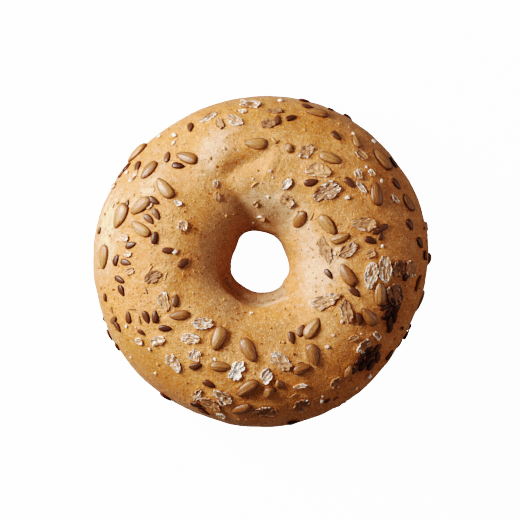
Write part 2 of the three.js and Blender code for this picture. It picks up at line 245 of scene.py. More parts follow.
# Small flakes, which the solid leaves out.
SMALL_FLAKES = [
    (243, 112, -15, 2.8, 1.5, 0.9, 0.3), (358, 175, -70, 3.4, 2.6, 0.8, 0.4),
    (361, 188, -48, 4.4, 1.6, 1.0, 0.3), (371, 173.5, -55, 2.8, 1.7, 1.0, 0.3),
    (370, 254, 20, 3.2, 2.6, 0.5, 0.2), (376.5, 335, -45, 3.3, 1.8, 0.9, 0.4),
    (221.5, 415, -40, 3.3, 2.0, 0.9, 0.3), (300, 385.5, 5, 4.6, 1.2, 0.9, 0.3),
    (140, 341, 0, 2.7, 2.3, 0.9, 0.3), (130, 271, 15, 3.4, 2.2, 0.6, 0.3),
    (128, 254, 0, 2.8, 2.2, 0.6, 0.3), (125, 238, -20, 2.8, 2.6, 0.9, 0.2),
    (178, 203, -40, 2.4, 2.0, 1.2, 0.2), (353, 338, 15, 3.4, 1.8, 0.3, 0.3),
    (275, 111.5, 8, 5.4, 1.8, 0.1, 0.9), (395, 200, -42, 3.4, 1.5, 0.9, 0.3),
    (114, 186, 0, 2.4, 2.0, 0.6, 0.2), (261, 218, 25, 3.0, 2.0, 0.5, 0.5),
    (404, 270, 70, 3.0, 2.0, 0.2, 0.8), (256, 204, 70, 2.2, 1.6, 0.2, 0.4),
    (217, 197, -75, 3.2, 1.9, 0.1, 0.4), (215.5, 184, 80, 2.6, 1.5, 1.1, 0.9),
    (150, 205, 60, 2.6, 1.6, 0.9, 0.3), (133, 179, 50, 3.4, 1.5, 0.8, 0.3),
]
FLAKE = {"thick": 0.6, "lift": 0.37, "cup": 0.4, "seed": 88, "steps": 25}

# Toppings low on the outside, which the view from above doesn't reach.
FLANK = {
    "kernels": 8, "linseeds": 12, "flakes": 6, "lowest": -40, "highest": -14, "seed": 417,
    "spacing": 0.618034, "uneven": 0.12,
}
FLANK_LENGTH = {"kernel": 7.4, "linseed": 4.4, "flake": 6.4}
FLANK_FLAKE = {"width": 4.2, "floury": 0.4, "toast": 0.5, "edge_draws": 6}

# White and tan crumbs that show: x, y, size in millimetres.
CRUMBS = [
    (159, 137, 1.5), (175, 136, 1.9), (174, 143.5, 1.3), (127.5, 173, 1.5), (253, 179, 0.9),
    (270, 171, 1.0), (273, 178, 0.8), (366, 167.5, 1.0), (381, 181.5, 1.3), (373.5, 142, 1.5),
    (347, 198, 1.6), (382, 246, 1.1), (335, 254, 1.0), (341.5, 321.5, 1.2), (360.5, 333.5, 0.8),
    (327, 346.5, 1.5), (333, 335, 1.0), (321, 400.5, 1.4), (322.5, 396, 0.9), (215, 359, 1.1),
    (131, 357, 0.8), (156, 373, 1.0), (150, 348.5, 1.1), (253, 222.5, 0.9), (369, 376, 1.6),
    (356, 388, 1.0), (127, 326, 1.1), (136, 327, 0.9), (175, 252, 1.7),
    (224, 149, 1.1), (280, 101, 1.6), (353, 134, 1.3), (251.5, 313, 1.1), (268, 197, 1.0),
]
CRUMB_LIFT = 0.15
# Finer dust all over the upper side, between two rolls in degrees.
CRUMB_DUST = {"count": 520, "smallest": 0.3, "largest": 1.0, "from": 15, "over": 120, "seed": 7331}

# Slivers of husk: x, y, the way that each lies, length in millimetres, paleness.
HUSKS = [
    (254.5, 184.5, 37, 3.2, 1.0), (277, 142.5, 45, 2.0, 0.0), (273.5, 140, -50, 2.2, 0.9),
    (311.5, 216.5, 60, 3.0, 0.6), (155, 188, -60, 2.8, 0.3), (114, 206, 70, 1.8, 0.3),
    (118, 203, 20, 1.8, 0.4), (146, 290, -70, 2.6, 0.5), (140, 320, -80, 3.4, 0.3),
    (112, 310, -75, 2.6, 0.3), (132, 309, 5, 3.0, 0.3), (119.5, 341.5, -30, 2.2, 0.8),
    (337, 177.5, 10, 2.4, 0.4), (300, 362, 5, 2.4, 0.4), (293, 395, 40, 3.2, 0.5),
    (201, 233, -40, 1.6, 0.3), (418, 283, 62, 6.0, 0.1), (150, 270, 60, 3.4, 0.7),
    (166, 276, 75, 3.0, 0.8), (336, 398, 50, 2.6, 0.2), (316, 398, 25, 2.8, 0.3),
]
HUSK = {"wide": 0.24, "thick": 0.16, "lift": 0.1, "curl": 0.5, "sides": 8, "seed": 553}

# The camera looks straight down from far off, and the lights stand round it.
LENS = 1200
SENSOR = 36
CLIP_END = 20
KEY = {"turn": 155, "tilt": 35, "distance": 0.55, "size": 0.24, "power": 4.75, "colour": (1, 0.98, 0.965)}
EDGE = {"turn": 6, "tilt": 6, "distance": 0.6, "size": 0.4, "power": 0.85, "colour": (0.98, 0.95, 1)}
SKY = (0.174, 0.159, 0.146, 1)

# The floor and the sky are drawn white for the camera alone, this strongly, and
# light the bagel with the dimmer colours of the floor's bounce and of SKY.
WHITE = 3.0
FLOOR = {"size": 3, "level": -0.0002, "bounce": (0.285, 0.25, 0.225, 1), "seen": (0.9, 0.9, 0.9, 1)}

# The print of the picture: light over BRIGHT_FROM is drawn this much steeper,
# on a curve that is drawn as far as CURVE_END.
BRIGHT_FROM = 0.66
BRIGHT_SLOPE = 2.5
CURVE_END = 1.5


def draws_from(seed):
    """The same draws in the same order on every run."""
    state = seed
    while True:
        state = state * 16807 % 2147483647
        yield state / 2147483647


def around(values, share):
    """A smooth closed curve through values at even steps round a circle."""
    place = share % 1 * len(values)
    first = math.floor(place)
    f = place - first
    a, b, c, d = (values[(first + step) % len(values)] for step in (-1, 0, 1, 2))
    bend = 2 * a - 5 * b + 4 * c - d
    twist = 3 * (b - c) + d - a
    return b + 0.5 * f * (c - a + f * (bend + f * twist))


def plan_of(x, y):
    """Where a pixel of the view from above lies on the plan of the bagel."""
    return (x - VIEW_MIDDLE[0]) * MM_PER_PIXEL, (VIEW_MIDDLE[1] - y) * MM_PER_PIXEL


def bell(distance, spread):
    return math.exp(-((distance / spread) ** 2))


def placed(hollows):
    """Each hollow with its middle and its way worked out once."""
    return [
        (*plan_of(x, y), math.cos(math.radians(way)), math.sin(math.radians(way)), half, wide, deep)
        for x, y, way, half, wide, deep in hollows
    ]


HOLLOWS_PLACED = placed(HOLLOWS)
WRINKLES_PLACED = placed(WRINKLES)
TINTS_AND_PAINTED_LIGHT_PLACED = placed(TINTS_AND_PAINTED_LIGHT)


def relief(hollows, x, y):
    """How far the crust stands in or out over a place of the plan."""
    total = 0
    for mid_x, mid_y, way_x, way_y, half, wide, deep in hollows:
        along = ((x - mid_x) * way_x + (y - mid_y) * way_y) / half
        aside = ((y - mid_y) * way_x - (x - mid_x) * way_y) / wide
        if along * along + aside * aside < 9:
            total -= deep * math.exp(-along * along - aside * aside)
    return total


def ring_point(turn, roll):
    """Radius and level of the plain ring: turn goes round the hole, roll round the section."""
    share = 0.25 - turn / FULL_TURN
    across = math.cos(roll)
    up = math.sin(roll)
    reach = around(OUTER_BY_HOUR if across > 0 else HOLE_BY_HOUR, share)
    radius = CREST_RADIUS + abs(across) * (reach - CREST_RADIUS)
    if up > 0:
        return radius, WIDEST_LEVEL + up * (around(CREST_BY_HOUR, share) - WIDEST_LEVEL)
    return radius, WIDEST_LEVEL - (WIDEST_LEVEL + FOOT_PRESSED) * abs(up) ** UNDERSIDE_SQUARENESS


def lumps(turn, roll):
    slow = math.sin(3 * turn + 1.1) * math.cos(roll - 0.6)
    quick = math.sin(7 * turn + 2.3 * math.sin(roll)) * math.sin(2 * roll + 0.4)
    return LUMP_HEIGHT * (slow + 0.8 * quick)


def ledge(turn, roll):
    """How much further out the wall of the hole stands in the groove of the ledge."""
    hour = (0.25 - turn / FULL_TURN) * 12
    away = (hour - LEDGE["hour"] + 6) % 12 - 6
    rise = roll - math.radians(LEDGE["roll"])
    return LEDGE["deep"] * bell(away, LEDGE["hours"]) * bell(rise, math.radians(LEDGE["spread"]))


def step(value, low, high):
    """A smooth step from 0 at low to 1 at high, which may be the smaller one."""
    share = min(1, max(0, (value - low) / (high - low)))
    return share * share * (3 - 2 * share)


def on_shelf_hours(hour):
    away = abs((hour - SHELF["hour"] + 6) % 12 - 6)
    return 1 - step(away, SHELF["hours"] - SHELF["fade"], SHELF["hours"])


def on_shelf(turn, roll, radius, level):
    """Turns the wall of the hole inwards to a narrow shelf, under a crisp lip."""
    hour = (0.25 - turn / FULL_TURN) * 12
    degrees = math.degrees(roll) % 360
    share = on_shelf_hours(hour)
    share *= step(degrees, SHELF["lip"], SHELF["start"])
    share *= 1 - step(degrees, SHELF["end"], SHELF["end"] + SHELF["blend"])
    if share == 0:
        return radius, level
    inwards = min(1, max(0, (degrees - SHELF["start"]) / (SHELF["end"] - SHELF["start"])))
    inner = around(HOLE_BY_HOUR, hour / 12) + SHELF["clear"]
    shelf_radius = SHELF["outer"] + (inner - SHELF["outer"]) * inwards
    shelf_level = SHELF["level"] - SHELF["drop"] * inwards ** 3
    return radius + share * (shelf_radius - radius), level + share * (shelf_level - level)


def crust(turn, roll):
    """A point of the crust, in millimetres, without the fine skin."""
    radius, level = ring_point(turn, roll)
    upper = min(1, max(0, 3 * math.sin(roll)))
    shaped = relief(HOLLOWS_PLACED, radius * math.cos(turn), radius * math.sin(turn))
    raised = lumps(turn, roll) + upper * shaped
    radius += raised * math.cos(roll) + ledge(turn, roll)
    level = max(0, level + raised * math.sin(roll))
    radius, level = on_shelf(turn, roll, radius, level)
    return Vector((radius * math.cos(turn), radius * math.sin(turn), level))


def skin(point, roll):
    """Fine unevenness of the baked skin, in millimetres; the foot stays flat."""
    upper = min(1, max(0, 3 * math.sin(roll)))
    above_foot = min(1, point.z / FOOT_FADE)
    folds = upper * relief(WRINKLES_PLACED, point.x, point.y)
    broad = SKIN["broad"] * noise.noise(point / SKIN["broad_size"])
    pebbles = SKIN["pebbles"] * noise.noise(point / SKIN["pebble_size"])
    return above_foot * (folds + broad + pebbles - SKIN["sunk"])


def roll_over(turn, distance):
    """The roll at which the crust lies over a given distance from the middle."""
    low = 0
    high = math.pi
    for _ in range(30):
        middle = (low + high) / 2
        point = crust(turn, middle)
        if math.hypot(point.x, point.y) > distance:
            low = middle
        else:
            high = middle
    return low


def seat_at(turn, roll, way, lift):
    """A frame on the crust: X along the piece, Z straight out of the dough."""
    nudge = 0.01
    around_hole = crust(turn + nudge, roll) - crust(turn - nudge, roll)
    over = crust(turn, roll + nudge) - crust(turn, roll - nudge)
    out = around_hole.cross(over).normalized()
    along = (way - out * way.dot(out)).normalized()
    aside = out.cross(along)
    turned = Matrix((along, aside, out)).transposed().to_4x4()
    return Matrix.Translation(crust(turn, roll) + out * lift) @ turned


def seat_over(x, y, degrees, lift):
    """A frame on the crust under a pixel of the view from above."""
    plan_x, plan_y = plan_of(x, y)
    turn = math.atan2(plan_y, plan_x)
    way = Vector((math.cos(math.radians(degrees)), math.sin(math.radians(degrees)), 0))
    return seat_at(turn, roll_over(turn, math.hypot(plan_x, plan_y)), way, lift)


def flank_seats():
    """Sort, length and seat of each topping low on the outside."""
    draw = draws_from(FLANK["seed"])
    seats = []
    for i in range(FLANK["kernels"] + FLANK["linseeds"] + FLANK["flakes"]):
        turn = (i * FLANK["spacing"] + FLANK["uneven"] * next(draw)) % 1 * FULL_TURN
        roll = math.radians(FLANK["lowest"] + (FLANK["highest"] - FLANK["lowest"]) * next(draw))
        way = Vector((next(draw) - 0.5, next(draw) - 0.5, next(draw) - 0.5))
        if i < FLANK["kernels"]:
            length = FLANK_LENGTH["kernel"] + next(draw)
            seats.append(("kernel", length, seat_at(turn, roll, way, KERNEL["lift"])))
        elif i < FLANK["kernels"] + FLANK["flakes"]:
            # The solid's flake takes these draws for its ragged edge.
            for _ in range(FLANK_FLAKE["edge_draws"]):
                next(draw)
            seats.append(("flake", FLANK_LENGTH["flake"], seat_at(turn, roll, way, FLAKE["lift"])))
        else:
            seats.append(("linseed", FLANK_LENGTH["linseed"], seat_at(turn, roll, way, LINSEED["lift"])))
    return seats


FLANK_SEATS = flank_seats()


def add_piece(name, shape, material):
    """A finished piece of the bagel, from a mesh in millimetres."""
    bmesh.ops.scale(shape, vec=(MM, MM, MM), verts=shape.verts)
    for face in shape.faces:
        face.smooth = True
    mesh = bpy.data.meshes.new(name)
    shape.to_mesh(mesh)
    shape.free()
    mesh.materials.append(material)
    piece = bpy.data.objects.new(name, mesh)
    bpy.context.scene.collection.objects.link(piece)
    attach(piece, "root")
    return piece


def add_node(tree, kind, values=None, **settings):
    """A shader node, with its settings, and a value or a link for each input."""
    made = tree.nodes.new(kind)
    for name, value in settings.items():
        setattr(made, name, value)
    for name, value in (values or {}).items():
        if isinstance(value, bpy.types.NodeSocket):
            tree.links.new(value, made.inputs[name])
        else:
            made.inputs[name].default_value = value
    return made


def blend_colours(tree, share, low, high, how="MIX"):
    """The colour between low and high; inputs 6 and 7 of a Mix node are its colours."""
    made = add_node(tree, "ShaderNodeMix", {0: share, 6: low, 7: high}, data_type="RGBA", blend_type=how)
    return made.outputs[2]


def ramp(tree, value, low, high):
    """0 up to low and 1 from high, with a smooth step between them."""
    made = add_node(
        tree,
        "ShaderNodeMapRange",
        {"Value": value, "From Min": low, "From Max": high},
        interpolation_type="SMOOTHSTEP",
    )
    return made.outputs["Result"]


def calculate(tree, operation, first, second=0.0, third=0.0):
    made = add_node(tree, "ShaderNodeMath", {0: first, 1: second, 2: third}, operation=operation)
    return made.outputs["Value"]


def wave(tree, place, scale, detail=3.0, roughness=0.5, distortion=0.0):
    """Soft noise round 0.5, with features of about one over scale millimetres."""
    values = {"Vector": place, "Scale": scale, "Detail": detail, "Roughness": roughness}
    values["Distortion"] = distortion
    return add_node(tree, "ShaderNodeTexNoise", values).outputs["Fac"]


def colour(red, green, blue):
    """A colour given in the 0 to 255 of a picture, as Blender's linear one."""
    shares = [channel / 255 for channel in (red, green, blue)]
    return (*[s / 12.92 if s <= 0.04045 else ((s + 0.055) / 1.055) ** 2.4 for s in shares], 1)


def new_material(name):
    """A material with its node tree, its shader and its place in millimetres."""
    material = bpy.data.materials.new(name)
    material.use_nodes = True
    tree = material.node_tree
    shader = tree.nodes["Principled BSDF"]
    object_place = add_node(tree, "ShaderNodeTexCoord").outputs["Object"]
    values = {"Vector": object_place, "Scale": (1 / MM, 1 / MM, 1 / MM)}
    place = add_node(tree, "ShaderNodeMapping", values).outputs["Vector"]
    return material, tree, shader, place


def attribute(tree, name):
    return add_node(tree, "ShaderNodeAttribute", attribute_name=name).outputs["Fac"]


def link(tree, value, shader, name):
    tree.links.new(value, shader.inputs[name])


def bump(tree, shader, height, depth, strength=1.0):
    """Gives the shader a bump of height, where 1 is depth millimetres high."""
    values = {"Height": height, "Distance": depth * MM, "Strength": strength}
    link(tree, add_node(tree, "ShaderNodeBump", values).outputs["Normal"], shader, "Normal")


def make_grain_group():
    """Shared by all baked surfaces: fine floury grain, as a shade and as a height."""
    group = bpy.data.node_groups.new("baked_grain", "ShaderNodeTree")
    face = group.interface
    face.new_socket("Place", in_out="INPUT", socket_type="NodeSocketVector")
    face.new_socket("Fineness", in_out="INPUT", socket_type="NodeSocketFloat")
    face.new_socket("Contrast", in_out="INPUT", socket_type="NodeSocketFloat")
    face.new_socket("Shade", in_out="OUTPUT", socket_type="NodeSocketFloat")
    face.new_socket("Height", in_out="OUTPUT", socket_type="NodeSocketFloat")
    ends = add_node(group, "NodeGroupInput").outputs
    fine = wave(group, ends["Place"], ends["Fineness"], detail=4, roughness=0.65)
    swing = calculate(group, "SUBTRACT", fine, 0.5)
    shade = calculate(group, "MULTIPLY_ADD", swing, ends["Contrast"], 1.0)
    add_node(group, "NodeGroupOutput", {"Shade": shade, "Height": fine})
    return group


GRAIN = make_grain_group()


def grain(tree, place, fineness, contrast):
    made = add_node(tree, "ShaderNodeGroup", node_tree=GRAIN)
    tree.links.new(place, made.inputs["Place"])
    made.inputs["Fineness"].default_value = fineness
    made.inputs["Contrast"].default_value = contrast
    return made.outputs["Shade"], made.outputs["Height"]


def shaded(tree, base, shade):
    """A colour made lighter or darker by a shade round 1."""
    grey = add_node(tree, "ShaderNodeCombineColor", {"Red": shade, "Green": shade, "Blue": shade})
    return blend_colours(tree, 1.0, base, grey.outputs["Color"], "MULTIPLY")


def specks(tree, place, scale, size, offset):
    """A mask of scattered specks of uneven size: 1 inside a speck."""
    values = {"Vector": place, "Location": (offset, offset, offset)}
    moved = add_node(tree, "ShaderNodeMapping", values).outputs["Vector"]
    cells = add_node(tree, "ShaderNodeTexVoronoi", {"Vector": moved, "Scale": scale, "Randomness": 1.0})
    parts = add_node(tree, "ShaderNodeSeparateColor", {"Color": cells.outputs["Color"]})
    reach = calculate(tree, "MULTIPLY", calculate(tree, "POWER", parts.outputs["Red"], 3.0), size)
    inside = calculate(tree, "SUBTRACT", reach, cells.outputs["Distance"])
    return ramp(tree, inside, 0.0, 0.1)


def crust_material():
    """Golden baked skin: mottled colour, floury grain, bran specks, pale painted sparkle, and tints with
    painted highlights and painted shade.
    """
    material, tree, shader, place = new_material("baked_crust")
    height = add_node(tree, "ShaderNodeSeparateXYZ", {"Vector": place}).outputs["Z"]
    tint_and_painted_light = attribute(tree, "tint_and_painted_light")
    inner = attribute(tree, "inner")
    patches = wave(tree, place, 0.08, detail=4, roughness=0.6)
    mottle = wave(tree, place, 0.4, detail=5, roughness=0.7)
    gold = blend_colours(tree, ramp(tree, patches, 0.35, 0.65), colour(213, 143, 77), colour(205, 129, 54))
    baked = blend_colours(tree, ramp(tree, mottle, 0.5, 0.7), gold, colour(223, 163, 105))
    caramel = blend_colours(tree, ramp(tree, mottle, 0.5, 0.32), baked, colour(186, 112, 50))
    # Partly the crust's own colour and partly painted light: the pale blend is floury patches and painted
    # highlights, the golden blend is golden patches and painted shade on the left inner slope, and the
    # dark brown is dark patches and painted shade in the crevice beside the hole.
    patchy = calculate(tree, "MULTIPLY_ADD", calculate(tree, "SUBTRACT", mottle, 0.5), 2.2, tint_and_painted_light)
    golden = blend_colours(tree, ramp(tree, patchy, 0.1, 1.3), caramel, colour(192, 119, 42))
    dark_brown_and_painted_shade = blend_colours(tree, ramp(tree, patchy, 1.9, 2.5), golden, colour(92, 44, 18))
    floury = blend_colours(tree, ramp(tree, patchy, -0.15, -1.0), dark_brown_and_painted_shade, colour(250, 206, 162))
    # A greyer colour painted on the shaded side of the hole's wall tints its shade; the shelf gets it too.
    wall = blend_colours(tree, calculate(tree, "MULTIPLY", inner, 0.9), floury, colour(184, 139, 98))
    side = blend_colours(tree, ramp(tree, height, 24.0, 8.0), wall, colour(212, 166, 130))
    shade, grain_height = grain(tree, place, 2.8, 1.7)
    grainy = shaded(tree, side, shade)
    small = specks(tree, place, 0.85, 0.5, 3.0)
    large = specks(tree, place, 0.32, 0.2, 11.0)
    small_bran = calculate(tree, "MULTIPLY", small, 0.7)
    speckled = blend_colours(tree, small_bran, grainy, colour(168, 92, 28))
    large_bran = calculate(tree, "MULTIPLY", large, 0.8)
    branny = blend_colours(tree, large_bran, speckled, colour(118, 60, 20))
    # Fine pale specks: painted glints of sparkle.
    painted_sparkle = calculate(tree, "MULTIPLY", specks(tree, place, 2.6, 0.75, 23.0), 0.36)
    link(tree, blend_colours(tree, painted_sparkle, branny, colour(252, 226, 190)), shader, "Base Color")
    link(tree, calculate(tree, "MULTIPLY_ADD", mottle, 0.25, 0.27), shader, "Roughness")
    pebbles = wave(tree, place, 0.9, detail=3)
    crinkle = calculate(tree, "MULTIPLY_ADD", calculate(tree, "MINIMUM", tint_and_painted_light, 0.0), -1.2, 1.15)
    skin_height = calculate(tree, "MULTIPLY_ADD", grain_height, crinkle, pebbles)
    bump(tree, shader, calculate(tree, "MULTIPLY_ADD", small, 0.3, skin_height), 0.27)
    shader.inputs["Specular IOR Level"].default_value = 0.8
    shader.inputs["Sheen Weight"].default_value = 0.08
    return material


def kernel_material():
    """Toasted sunflower kernel: tan, faintly ribbed, darker away from its top, partly as toast and partly
    as painted contact shade where it meets the crust.
    """
    material, tree, shader, place = new_material("sunflower_kernel")
    tone = attribute(tree, "tone")
    rise = attribute(tree, "rise")
    ribs = attribute(tree, "ribs")
    pale = blend_colours(tree, tone, colour(187, 136, 87), colour(144, 95, 52))
    # Darker low on the kernel where it meets the crust: toast and painted contact shade.
    dark_edge_and_contact_shade = blend_colours(tree, ramp(tree, rise, 0.95, 0.4), pale, colour(104, 60, 32))
    wobble = calculate(tree, "MULTIPLY", wave(tree, place, 0.35), 6.0)
    rib_wobble = calculate(tree, "MULTIPLY_ADD", ribs, 9.0, wobble)
    rib_height = calculate(tree, "SINE", rib_wobble)
    line_share = calculate(tree, "MULTIPLY", ramp(tree, rib_height, 0.7, 1.0), wave(tree, place, 0.45))
    lined = blend_colours(tree, line_share, dark_edge_and_contact_shade, colour(112, 66, 34))
    shade, grain_height = grain(tree, place, 2.0, 1.8)
    link(tree, shaded(tree, lined, shade), shader, "Base Color")
    shader.inputs["Roughness"].default_value = 0.38
    shader.inputs["Specular IOR Level"].default_value = 0.8
    bump(tree, shader, calculate(tree, "MULTIPLY_ADD", line_share, -0.8, grain_height), 0.12)
    return material


def linseed_material():
    """Glossy dark linseed, browner on some seeds, with a fine pitted skin, darker away from its top:
    partly its own colour, partly painted contact shade.
    """
    material, tree, shader, place = new_material("brown_linseed")
    tone = attribute(tree, "tone")
    rise = attribute(tree, "rise")
    body = blend_colours(tree, tone, colour(76, 42, 24), colour(120, 84, 60))
    # Darker low on the seed where it meets the crust: its own colour and painted contact shade.
    dark_edge_and_contact_shade = blend_colours(tree, ramp(tree, rise, 0.9, 0.55), body, colour(76, 26, 8))
    shade, grain_height = grain(tree, place, 2.6, 1.2)
    link(tree, shaded(tree, dark_edge_and_contact_shade, shade), shader, "Base Color")
    shader.inputs["Roughness"].default_value = 0.34
    shader.inputs["Specular IOR Level"].default_value = 0.5
    bump(tree, shader, grain_height, 0.08)
    return material


def flake_material():
    """Rolled cereal flake: tan and greyish, with white floury edges and ridges and painted shade in its
    creases.
    """
    material, tree, shader, place = new_material("cereal_flake")
    flour = attribute(tree, "flour")
    tone = attribute(tree, "tone")
    body = blend_colours(tree, tone, colour(228, 173, 126), colour(162, 117, 86))
    patchy = wave(tree, place, 1.1, detail=5, roughness=0.7)
    stretched = add_node(tree, "ShaderNodeCombineXYZ", {
        "X": calculate(tree, "MULTIPLY", attribute(tree, "along"), 0.3),
        "Y": attribute(tree, "aside"),
    }).outputs["Vector"]
    folds = calculate(tree, "SUBTRACT", wave(tree, stretched, 0.85, detail=2), 0.5)
    ridge = ramp(tree, calculate(tree, "ABSOLUTE", folds), 0.06, 0.01)
    # Painted shade: darker brown down in the creases of the folds.
    painted_crease_shade = blend_colours(tree, ramp(tree, folds, -0.08, -0.16), body, colour(128, 84, 56))
    ridged = calculate(tree, "MULTIPLY_ADD", ridge, 1.6, 1.0)
    floured = calculate(tree, "MULTIPLY_ADD", flour, ridged, -1.12)
    streaks = calculate(tree, "ADD", patchy, floured)
    white = blend_colours(tree, ramp(tree, streaks, 0.0, 0.2), painted_crease_shade, colour(255, 246, 234))
    shade, grain_height = grain(tree, place, 2.4, 0.8)
    link(tree, shaded(tree, white, shade), shader, "Base Color")
    shader.inputs["Roughness"].default_value = 0.6
    shader.inputs["Specular IOR Level"].default_value = 0.6
    patchy_height = calculate(tree, "MULTIPLY_ADD", patchy, 1.2, grain_height)
    bump(tree, shader, calculate(tree, "MULTIPLY_ADD", ridge, 0.9, patchy_height), 0.22)
    return material


def crumb_material():
    """Floury crumbs, from white to tan."""
    material, tree, shader, place = new_material("floury_crumb")
    tone = attribute(tree, "tone")
    tan = blend_colours(tree, ramp(tree, tone, 0.0, 0.4), colour(255, 246, 234), colour(218, 164, 108))
    base = blend_colours(tree, ramp(tree, tone, 0.6, 1.0), tan, colour(150, 84, 34))
    shade, grain_height = grain(tree, place, 3.0, 0.5)
    link(tree, shaded(tree, base, shade), shader, "Base Color")
    shader.inputs["Roughness"].default_value = 0.75
    bump(tree, shader, grain_height, 0.12)
    return material


def husk_material():
    """Thin brown slivers of husk and bran."""
    material, tree, shader, place = new_material("bran_husk")
    tone = attribute(tree, "tone")
    base = blend_colours(tree, tone, colour(120, 70, 30), colour(224, 174, 122))
    shade, grain_height = grain(tree, place, 3.0, 0.6)
    link(tree, shaded(tree, base, shade), shader, "Base Color")
    shader.inputs["Roughness"].default_value = 0.55
    bump(tree, shader, grain_height, 0.1)
    return material


def topping_seats():
    """Where each topping sits, with its half length and half width."""
    sized = [(*row, row[3] * KERNEL["wide"]) for row in KERNELS + STUBS]
    sized += [(*row, row[3] * LINSEED["wide"]) for row in LINSEEDS]
    sized += [row[:5] for row in FLAKES]
    seats = [(seat_over(x, y, way, 0), long / 2, wide / 2) for x, y, way, long, wide in sized]
    return [(seat.inverted(), seat.translation, half, wide) for seat, half, wide in seats]


def swelling(seats, tree, point):
    """How much the dough swells round the outline of the toppings near a point, from 0 to 1."""
    most = 0
    for _, i, away in tree.find_n(point, SWELLING["count"]):
        if away < SWELLING["near"]:
            to_seat, _, half, wide = seats[i]
            place = to_seat @ point
            outline = math.hypot(place.x / half, place.y / wide)
            most = max(most, bell(outline - SWELLING["outline"], SWELLING["spread"]))
    return most


def add_crust():
    """The ring of dough: a circle spun round the hole, then moved on to the crust."""
    shape = bmesh.new()
    lie_in_section = Matrix.Translation((2, 0, 0)) @ Matrix.Rotation(math.pi / 2, 4, "X")
    section = bmesh.ops.create_circle(shape, segments=ROLL_STEPS, radius=1, matrix=lie_in_section)
    edges = list({edge for vert in section["verts"] for edge in vert.link_edges})
    bmesh.ops.spin(
        shape,
        geom=section["verts"] + edges,
        cent=(0, 0, 0),
        axis=(0, 0, 1),
        angle=FULL_TURN,
        steps=TURN_STEPS,
        use_merge=True,
    )
    seats = topping_seats()
    tree = kdtree.KDTree(len(seats))
    for i, seat in enumerate(seats):
        tree.insert(seat[1], i)
    tree.balance()
    layers = make_layers(shape, "tint_and_painted_light", "inner")
    for vert in shape.verts:
        turn = math.atan2(vert.co.y, vert.co.x)
        roll = math.atan2(vert.co.z, math.hypot(vert.co.x, vert.co.y) - 2)
        point = crust(turn, roll)
        upper = step(math.sin(roll), -0.3, 0.3)
        # The crust's tints, partly its own colour and partly painted highlights and painted shade.
        vert[layers["tint_and_painted_light"]] = -relief(TINTS_AND_PAINTED_LIGHT_PLACED, point.x, point.y) * upper
        # Paints a greyer colour on the shaded side of the hole's wall as painted shade, and the same
        # colour on the shelf.
        distance = math.hypot(point.x, point.y)
        across = PAINTED_WALL_SHADE["x"] * point.x + PAINTED_WALL_SHADE["y"] * point.y
        painted_wall_shade = step(distance, PAINTED_WALL_SHADE["far"], PAINTED_WALL_SHADE["near"]) * step(across, PAINTED_WALL_SHADE["from"], PAINTED_WALL_SHADE["to"])
        shelf = step(distance, SHELF_TINT["far"], SHELF_TINT["near"])
        shelf *= on_shelf_hours((0.25 - turn / FULL_TURN) * 12)
        vert[layers["inner"]] = max(painted_wall_shade, SHELF_TINT["strength"] * shelf)
        swell = SWELLING["high"] * swelling(seats, tree, point) * min(1, point.z / FOOT_FADE)
        raised = skin(point, roll) + swell
        out = Vector((math.cos(roll) * math.cos(turn), math.cos(roll) * math.sin(turn), math.sin(roll)))
        vert.co = point + out * raised
    bmesh.ops.recalc_face_normals(shape, faces=shape.faces)
    piece = add_piece("dough_crust", shape, crust_material())
    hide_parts(BAGEL)
    return piece


def gather(shape, part):
    """Adds a finished part to the mesh of its piece."""
    mesh = bpy.data.meshes.new("part")
    part.to_mesh(mesh)
    part.free()
    shape.from_mesh(mesh)
    bpy.data.meshes.remove(mesh)


def make_layers(shape, *names):
    return {name: shape.verts.layers.float.new(name) for name in names}


def seed_part(kind, length, seat, draw):
    """One kernel or linseed: a flattened drop with its point along X."""
    shape = bmesh.new()
    layers = make_layers(shape, "tone", "rise", "ribs")
    bmesh.ops.create_uvsphere(shape, u_segments=kind["sides"], v_segments=kind["rings"], radius=1)
    tone = next(draw)
    bent = 0.12 * (next(draw) - 0.5)
    plump = 0.94 + 0.1 * next(draw)
    point = kind["point"] * (0.6 + 0.9 * next(draw))
    spot = Vector((17 * tone, 31 * bent, 0))
    middle = seat.translation
    # Seeds in a dark patch get a wider dark edge, which is partly painted contact shade.
    tint_and_painted_light = -relief(TINTS_AND_PAINTED_LIGHT_PLACED, middle.x, middle.y)
    wider_dark_edge = DARK_PATCH_EDGE["share"] * max(0, tint_and_painted_light - DARK_PATCH_EDGE["from"])
    cuts = []
    for _ in range(kind["facets"]):
        cuts.append(Vector((next(draw) - 0.5, next(draw) - 0.5, next(draw) - 0.3)).normalized())
    for vert in shape.verts:
        aside, up, along = vert.co
        girth = max(math.hypot(aside, up), 0.001)
        square = girth * max(abs(aside) ** 2.5 + abs(up) ** 2.5, 1e-7) ** -0.4
        taper = (1 - point * along) * (1 - 1.4 * point * max(0, along) ** 3) * plump
        full = taper * square * girth ** -0.16
        uneven = 1 + 0.06 * noise.noise(spot + vert.co * 1.6)
        vert[layers["tone"]] = tone
        vert[layers["rise"]] = 0.5 + 0.5 * up - wider_dark_edge
        vert[layers["ribs"]] = aside * (1 - 0.25 * along)
        x = along * uneven
        y = aside * full * kind["wide"] * uneven + bent * (along * along - 0.4)
        off_middle = abs(aside / max(full, 0.2) - 2.2 * bent)
        ridge = max(0, 1 - 2.4 * off_middle) * max(0, up) * kind["ridge"]
        z = up * full * kind["thick"] * uneven + ridge
        point_here = Vector((x, y, z))
        for cut in cuts:
            past = point_here.dot(cut) - CUT["reach"]
            point_here -= cut * max(0, past) * CUT["share"]
        vert.co = point_here * (length / 2 * SEED_FIT)
    bmesh.ops.transform(shape, matrix=seat, verts=shape.verts)
    return shape


